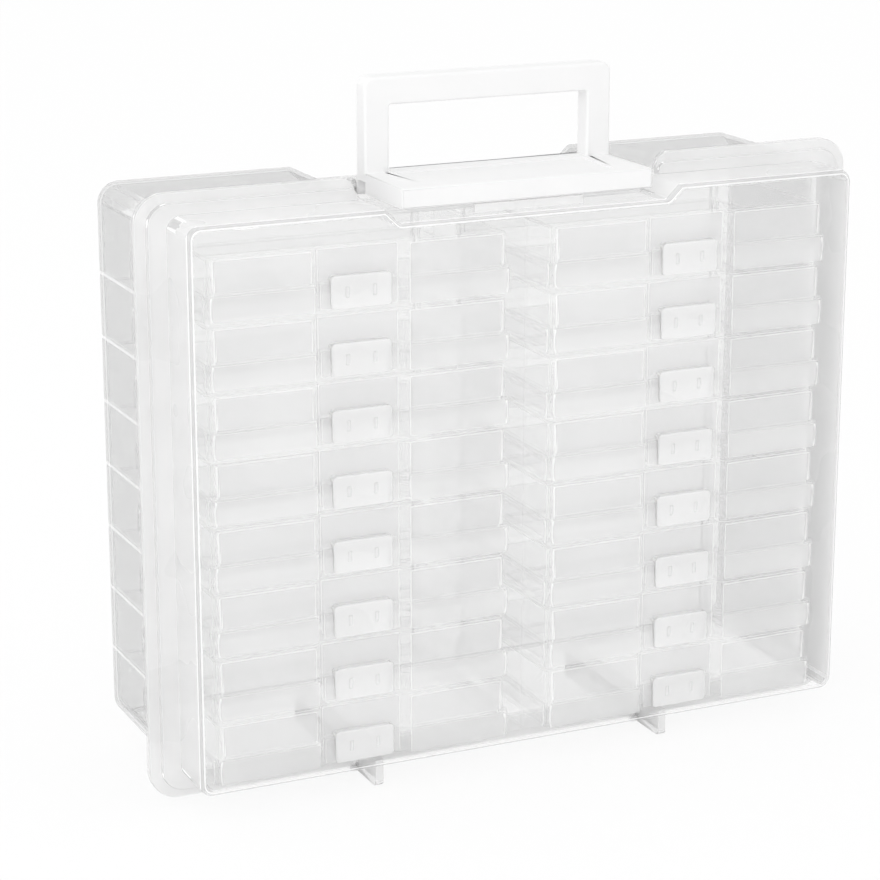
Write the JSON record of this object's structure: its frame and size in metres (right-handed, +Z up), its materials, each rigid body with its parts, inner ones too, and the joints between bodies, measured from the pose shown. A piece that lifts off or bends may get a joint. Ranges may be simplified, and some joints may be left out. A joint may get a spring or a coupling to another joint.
{
  "type": "sorting case",
  "caption": "Clear carrying case with a drop-down door, a white handle that latches it, and two columns of lidded clear cases that slide out on ledges.",
  "frame": {"origin": "on the floor, under the middle of the carrying shell's depth and width", "axes": "+X across to the right as seen from the door, +Y from the door to the back, +Z up"},
  "size_m": [0.396, 0.1264, 0.3567],
  "materials": {
    "clear_shell": "moulded clear polypropylene, slightly cloudy, glossy",
    "clear_case": "moulded clear polypropylene, slightly cloudy, glossy, paler at its edges",
    "white_handle": "moulded white polypropylene, satin"
  },
  "bodies": {
    "shell": {"back_shell": "clear_shell", "left_rack": "clear_shell", "right_rack": "clear_shell", "divider_rack": "clear_shell", "left_hinge_pin": "clear_shell", "right_hinge_pin": "clear_shell", "handle_pin": "white_handle"},
    "door": {"front_door": "clear_shell"},
    "handle": {"handle_latch": "white_handle"},
    "left_case_1": {"left_case_1_base": "clear_case", "left_case_1_cover": "clear_case"},
    "left_case_1_clasp": {"left_case_1_clasp": "clear_case"},
    "left_case_2": {"left_case_2_base": "clear_case", "left_case_2_cover": "clear_case"},
    "left_case_2_clasp": {"left_case_2_clasp": "clear_case"},
    "left_case_3": {"left_case_3_base": "clear_case", "left_case_3_cover": "clear_case"},
    "left_case_3_clasp": {"left_case_3_clasp": "clear_case"},
    "left_case_4": {"left_case_4_base": "clear_case", "left_case_4_cover": "clear_case"},
    "left_case_4_clasp": {"left_case_4_clasp": "clear_case"},
    "left_case_5": {"left_case_5_base": "clear_case", "left_case_5_cover": "clear_case"},
    "left_case_5_clasp": {"left_case_5_clasp": "clear_case"},
    "left_case_6": {"left_case_6_base": "clear_case", "left_case_6_cover": "clear_case"},
    "left_case_6_clasp": {"left_case_6_clasp": "clear_case"},
    "left_case_7": {"left_case_7_base": "clear_case", "left_case_7_cover": "clear_case"},
    "left_case_7_clasp": {"left_case_7_clasp": "clear_case"},
    "left_case_8": {"left_case_8_base": "clear_case", "left_case_8_cover": "clear_case"},
    "left_case_8_clasp": {"left_case_8_clasp": "clear_case"},
    "right_case_1": {"right_case_1_base": "clear_case", "right_case_1_cover": "clear_case"},
    "right_case_1_clasp": {"right_case_1_clasp": "clear_case"},
    "right_case_2": {"right_case_2_base": "clear_case", "right_case_2_cover": "clear_case"},
    "right_case_2_clasp": {"right_case_2_clasp": "clear_case"},
    "right_case_3": {"right_case_3_base": "clear_case", "right_case_3_cover": "clear_case"},
    "right_case_3_clasp": {"right_case_3_clasp": "clear_case"},
    "right_case_4": {"right_case_4_base": "clear_case", "right_case_4_cover": "clear_case"},
    "right_case_4_clasp": {"right_case_4_clasp": "clear_case"},
    "right_case_5": {"right_case_5_base": "clear_case", "right_case_5_cover": "clear_case"},
    "right_case_5_clasp": {"right_case_5_clasp": "clear_case"},
    "right_case_6": {"right_case_6_base": "clear_case", "right_case_6_cover": "clear_case"},
    "right_case_6_clasp": {"right_case_6_clasp": "clear_case"},
    "right_case_7": {"right_case_7_base": "clear_case", "right_case_7_cover": "clear_case"},
    "right_case_7_clasp": {"right_case_7_clasp": "clear_case"},
    "right_case_8": {"right_case_8_base": "clear_case", "right_case_8_cover": "clear_case"},
    "right_case_8_clasp": {"right_case_8_clasp": "clear_case"}
  },
  "joints": [
    {"name": "door_hinge", "type": "hinge", "parent": "shell", "child": "door", "pos_m": [0, -0.0287, 0.0025], "axis": [1, 0, 0], "range_deg": [0, 180]},
    {"name": "handle_hinge", "type": "hinge", "parent": "shell", "child": "handle", "pos_m": [0, 0.0047, 0.3007], "axis": [-1, 0, 0], "range_deg": [0, 90]},
    {"name": "left_case_1_slide", "type": "slide", "parent": "shell", "child": "left_case_1", "axis": [0, -1, 0], "range_m": [0, 0.085]},
    {"name": "left_case_1_clasp_hinge", "type": "hinge", "parent": "left_case_1", "child": "left_case_1_clasp", "pos_m": [-0.0914, -0.0522, 0.0332], "axis": [-1, 0, 0], "range_deg": [0, 60]},
    {"name": "left_case_2_slide", "type": "slide", "parent": "shell", "child": "left_case_2", "axis": [0, -1, 0], "range_m": [0, 0.085]},
    {"name": "left_case_2_clasp_hinge", "type": "hinge", "parent": "left_case_2", "child": "left_case_2_clasp", "pos_m": [-0.0914, -0.0522, 0.0668], "axis": [-1, 0, 0], "range_deg": [0, 60]},
    {"name": "left_case_3_slide", "type": "slide", "parent": "shell", "child": "left_case_3", "axis": [0, -1, 0], "range_m": [0, 0.085]},
    {"name": "left_case_3_clasp_hinge", "type": "hinge", "parent": "left_case_3", "child": "left_case_3_clasp", "pos_m": [-0.0914, -0.0522, 0.1004], "axis": [-1, 0, 0], "range_deg": [0, 60]},
    {"name": "left_case_4_slide", "type": "slide", "parent": "shell", "child": "left_case_4", "axis": [0, -1, 0], "range_m": [0, 0.085]},
    {"name": "left_case_4_clasp_hinge", "type": "hinge", "parent": "left_case_4", "child": "left_case_4_clasp", "pos_m": [-0.0914, -0.0522, 0.134], "axis": [-1, 0, 0], "range_deg": [0, 60]},
    {"name": "left_case_5_slide", "type": "slide", "parent": "shell", "child": "left_case_5", "axis": [0, -1, 0], "range_m": [0, 0.085]},
    {"name": "left_case_5_clasp_hinge", "type": "hinge", "parent": "left_case_5", "child": "left_case_5_clasp", "pos_m": [-0.0914, -0.0522, 0.1676], "axis": [-1, 0, 0], "range_deg": [0, 60]},
    {"name": "left_case_6_slide", "type": "slide", "parent": "shell", "child": "left_case_6", "axis": [0, -1, 0], "range_m": [0, 0.085]},
    {"name": "left_case_6_clasp_hinge", "type": "hinge", "parent": "left_case_6", "child": "left_case_6_clasp", "pos_m": [-0.0914, -0.0522, 0.2012], "axis": [-1, 0, 0], "range_deg": [0, 60]},
    {"name": "left_case_7_slide", "type": "slide", "parent": "shell", "child": "left_case_7", "axis": [0, -1, 0], "range_m": [0, 0.085]},
    {"name": "left_case_7_clasp_hinge", "type": "hinge", "parent": "left_case_7", "child": "left_case_7_clasp", "pos_m": [-0.0914, -0.0522, 0.2348], "axis": [-1, 0, 0], "range_deg": [0, 60]},
    {"name": "left_case_8_slide", "type": "slide", "parent": "shell", "child": "left_case_8", "axis": [0, -1, 0], "range_m": [0, 0.085]},
    {"name": "left_case_8_clasp_hinge", "type": "hinge", "parent": "left_case_8", "child": "left_case_8_clasp", "pos_m": [-0.0914, -0.0522, 0.2684], "axis": [-1, 0, 0], "range_deg": [0, 60]},
    {"name": "right_case_1_slide", "type": "slide", "parent": "shell", "child": "right_case_1", "axis": [0, -1, 0], "range_m": [0, 0.085]},
    {"name": "right_case_1_clasp_hinge", "type": "hinge", "parent": "right_case_1", "child": "right_case_1_clasp", "pos_m": [0.0914, -0.0522, 0.0332], "axis": [-1, 0, 0], "range_deg": [0, 60]},
    {"name": "right_case_2_slide", "type": "slide", "parent": "shell", "child": "right_case_2", "axis": [0, -1, 0], "range_m": [0, 0.085]},
    {"name": "right_case_2_clasp_hinge", "type": "hinge", "parent": "right_case_2", "child": "right_case_2_clasp", "pos_m": [0.0914, -0.0522, 0.0668], "axis": [-1, 0, 0], "range_deg": [0, 60]},
    {"name": "right_case_3_slide", "type": "slide", "parent": "shell", "child": "right_case_3", "axis": [0, -1, 0], "range_m": [0, 0.085]},
    {"name": "right_case_3_clasp_hinge", "type": "hinge", "parent": "right_case_3", "child": "right_case_3_clasp", "pos_m": [0.0914, -0.0522, 0.1004], "axis": [-1, 0, 0], "range_deg": [0, 60]},
    {"name": "right_case_4_slide", "type": "slide", "parent": "shell", "child": "right_case_4", "axis": [0, -1, 0], "range_m": [0, 0.085]},
    {"name": "right_case_4_clasp_hinge", "type": "hinge", "parent": "right_case_4", "child": "right_case_4_clasp", "pos_m": [0.0914, -0.0522, 0.134], "axis": [-1, 0, 0], "range_deg": [0, 60]},
    {"name": "right_case_5_slide", "type": "slide", "parent": "shell", "child": "right_case_5", "axis": [0, -1, 0], "range_m": [0, 0.085]},
    {"name": "right_case_5_clasp_hinge", "type": "hinge", "parent": "right_case_5", "child": "right_case_5_clasp", "pos_m": [0.0914, -0.0522, 0.1676], "axis": [-1, 0, 0], "range_deg": [0, 60]},
    {"name": "right_case_6_slide", "type": "slide", "parent": "shell", "child": "right_case_6", "axis": [0, -1, 0], "range_m": [0, 0.085]},
    {"name": "right_case_6_clasp_hinge", "type": "hinge", "parent": "right_case_6", "child": "right_case_6_clasp", "pos_m": [0.0914, -0.0522, 0.2012], "axis": [-1, 0, 0], "range_deg": [0, 60]},
    {"name": "right_case_7_slide", "type": "slide", "parent": "shell", "child": "right_case_7", "axis": [0, -1, 0], "range_m": [0, 0.085]},
    {"name": "right_case_7_clasp_hinge", "type": "hinge", "parent": "right_case_7", "child": "right_case_7_clasp", "pos_m": [0.0914, -0.0522, 0.2348], "axis": [-1, 0, 0], "range_deg": [0, 60]},
    {"name": "right_case_8_slide", "type": "slide", "parent": "shell", "child": "right_case_8", "axis": [0, -1, 0], "range_m": [0, 0.085]},
    {"name": "right_case_8_clasp_hinge", "type": "hinge", "parent": "right_case_8", "child": "right_case_8_clasp", "pos_m": [0.0914, -0.0522, 0.2684], "axis": [-1, 0, 0], "range_deg": [0, 60]}
  ],
  "couplings": [
    {"joint": "left_case_1_slide", "follows": "door_hinge", "m_per_rad": 0.026},
    {"joint": "left_case_1_clasp_hinge", "follows": "door_hinge", "ratio": 0.33},
    {"joint": "left_case_2_slide", "follows": "door_hinge", "m_per_rad": 0.026},
    {"joint": "left_case_2_clasp_hinge", "follows": "door_hinge", "ratio": 0.33},
    {"joint": "left_case_3_slide", "follows": "door_hinge", "m_per_rad": 0.026},
    {"joint": "left_case_3_clasp_hinge", "follows": "door_hinge", "ratio": 0.33},
    {"joint": "left_case_4_slide", "follows": "door_hinge", "m_per_rad": 0.026},
    {"joint": "left_case_4_clasp_hinge", "follows": "door_hinge", "ratio": 0.33},
    {"joint": "left_case_5_slide", "follows": "door_hinge", "m_per_rad": 0.026},
    {"joint": "left_case_5_clasp_hinge", "follows": "door_hinge", "ratio": 0.33},
    {"joint": "left_case_6_slide", "follows": "door_hinge", "m_per_rad": 0.026},
    {"joint": "left_case_6_clasp_hinge", "follows": "door_hinge", "ratio": 0.33},
    {"joint": "left_case_7_slide", "follows": "door_hinge", "m_per_rad": 0.026},
    {"joint": "left_case_7_clasp_hinge", "follows": "door_hinge", "ratio": 0.33},
    {"joint": "left_case_8_slide", "follows": "door_hinge", "m_per_rad": 0.026},
    {"joint": "left_case_8_clasp_hinge", "follows": "door_hinge", "ratio": 0.33},
    {"joint": "right_case_1_slide", "follows": "door_hinge", "m_per_rad": 0.026},
    {"joint": "right_case_1_clasp_hinge", "follows": "door_hinge", "ratio": 0.33},
    {"joint": "right_case_2_slide", "follows": "door_hinge", "m_per_rad": 0.026},
    {"joint": "right_case_2_clasp_hinge", "follows": "door_hinge", "ratio": 0.33},
    {"joint": "right_case_3_slide", "follows": "door_hinge", "m_per_rad": 0.026},
    {"joint": "right_case_3_clasp_hinge", "follows": "door_hinge", "ratio": 0.33},
    {"joint": "right_case_4_slide", "follows": "door_hinge", "m_per_rad": 0.026},
    {"joint": "right_case_4_clasp_hinge", "follows": "door_hinge", "ratio": 0.33},
    {"joint": "right_case_5_slide", "follows": "door_hinge", "m_per_rad": 0.026},
    {"joint": "right_case_5_clasp_hinge", "follows": "door_hinge", "ratio": 0.33},
    {"joint": "right_case_6_slide", "follows": "door_hinge", "m_per_rad": 0.026},
    {"joint": "right_case_6_clasp_hinge", "follows": "door_hinge", "ratio": 0.33},
    {"joint": "right_case_7_slide", "follows": "door_hinge", "m_per_rad": 0.026},
    {"joint": "right_case_7_clasp_hinge", "follows": "door_hinge", "ratio": 0.33},
    {"joint": "right_case_8_slide", "follows": "door_hinge", "m_per_rad": 0.026},
    {"joint": "right_case_8_clasp_hinge", "follows": "door_hinge", "ratio": 0.33}
  ]
}
